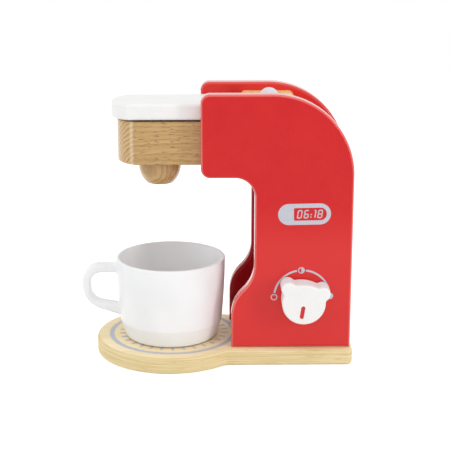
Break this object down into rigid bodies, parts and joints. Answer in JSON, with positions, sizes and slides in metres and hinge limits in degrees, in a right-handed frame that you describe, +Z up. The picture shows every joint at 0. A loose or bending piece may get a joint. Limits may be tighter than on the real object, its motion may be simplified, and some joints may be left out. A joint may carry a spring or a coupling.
{
  "type": "toy coffee maker",
  "caption": "Wooden toy coffee maker: round tray, two red side panels, hinged white lid, push button, turning dial and a loose cup with a handle.",
  "frame": {"origin": "on the underside of the board, in the middle of its length and width", "axes": "+Z up, +X along the board from the tray to the column, -Y towards the dial's side"},
  "size_m": [0.21, 0.1188, 0.21],
  "materials": {
    "plywood": "clear satin lacquer",
    "red_paint": "satin paint",
    "beech": "clear satin lacquer",
    "pale_wood": "clear satin lacquer",
    "white_paint": "satin paint",
    "silver_paint": "satin paint",
    "cup_shell": "gloss",
    "steel": "zinc plated",
    "felt": "pressed felt"
  },
  "bodies": {
    "frame": {"base_board": "plywood", "board_screws": "steel", "dial_side_panel": "red_paint", "plain_side_panel": "red_paint", "head_block": "beech", "head_block_dowels": "beech", "nozzle": "beech", "button_block": "pale_wood", "button_block_dowels": "beech", "rear_rail": "beech", "rear_rail_dowels": "beech", "lid_hinge_pin": "steel", "lid_bumpers": "felt", "dial_felt": "felt", "button_spring": "steel"},
    "lid": {"brew_lid": "white_paint"},
    "button": {"button_dome": "silver_paint", "button_stem": "beech", "button_washer": "beech", "button_screw": "steel"},
    "dial": {"dial_knob": "white_paint", "dial_spindle": "beech", "dial_washer": "beech", "dial_screw": "steel"},
    "cup": {"cup": "cup_shell"}
  },
  "joints": [
    {"name": "lid_hinge", "type": "hinge", "parent": "frame", "child": "lid", "pos_m": [0.0006, 0, 0.1949], "axis": [0, 1, 0], "range_deg": [0, 127]},
    {"name": "button_press", "type": "slide", "parent": "frame", "child": "button", "axis": [0, 0, -1], "range_m": [0, 0.004], "stiffness_N_per_m": 150, "springref_m": -0.002, "deforming": ["button_spring"]},
    {"name": "dial_turn", "type": "hinge", "parent": "frame", "child": "dial", "pos_m": [0.0604, -0.037, 0.054], "axis": [0, 1, 0], "continuous": true},
    {"name": "cup_pull", "type": "slide", "parent": "frame", "child": "cup", "axis": [-1, 0, 0], "range_m": [0, 0.12]}
  ]
}
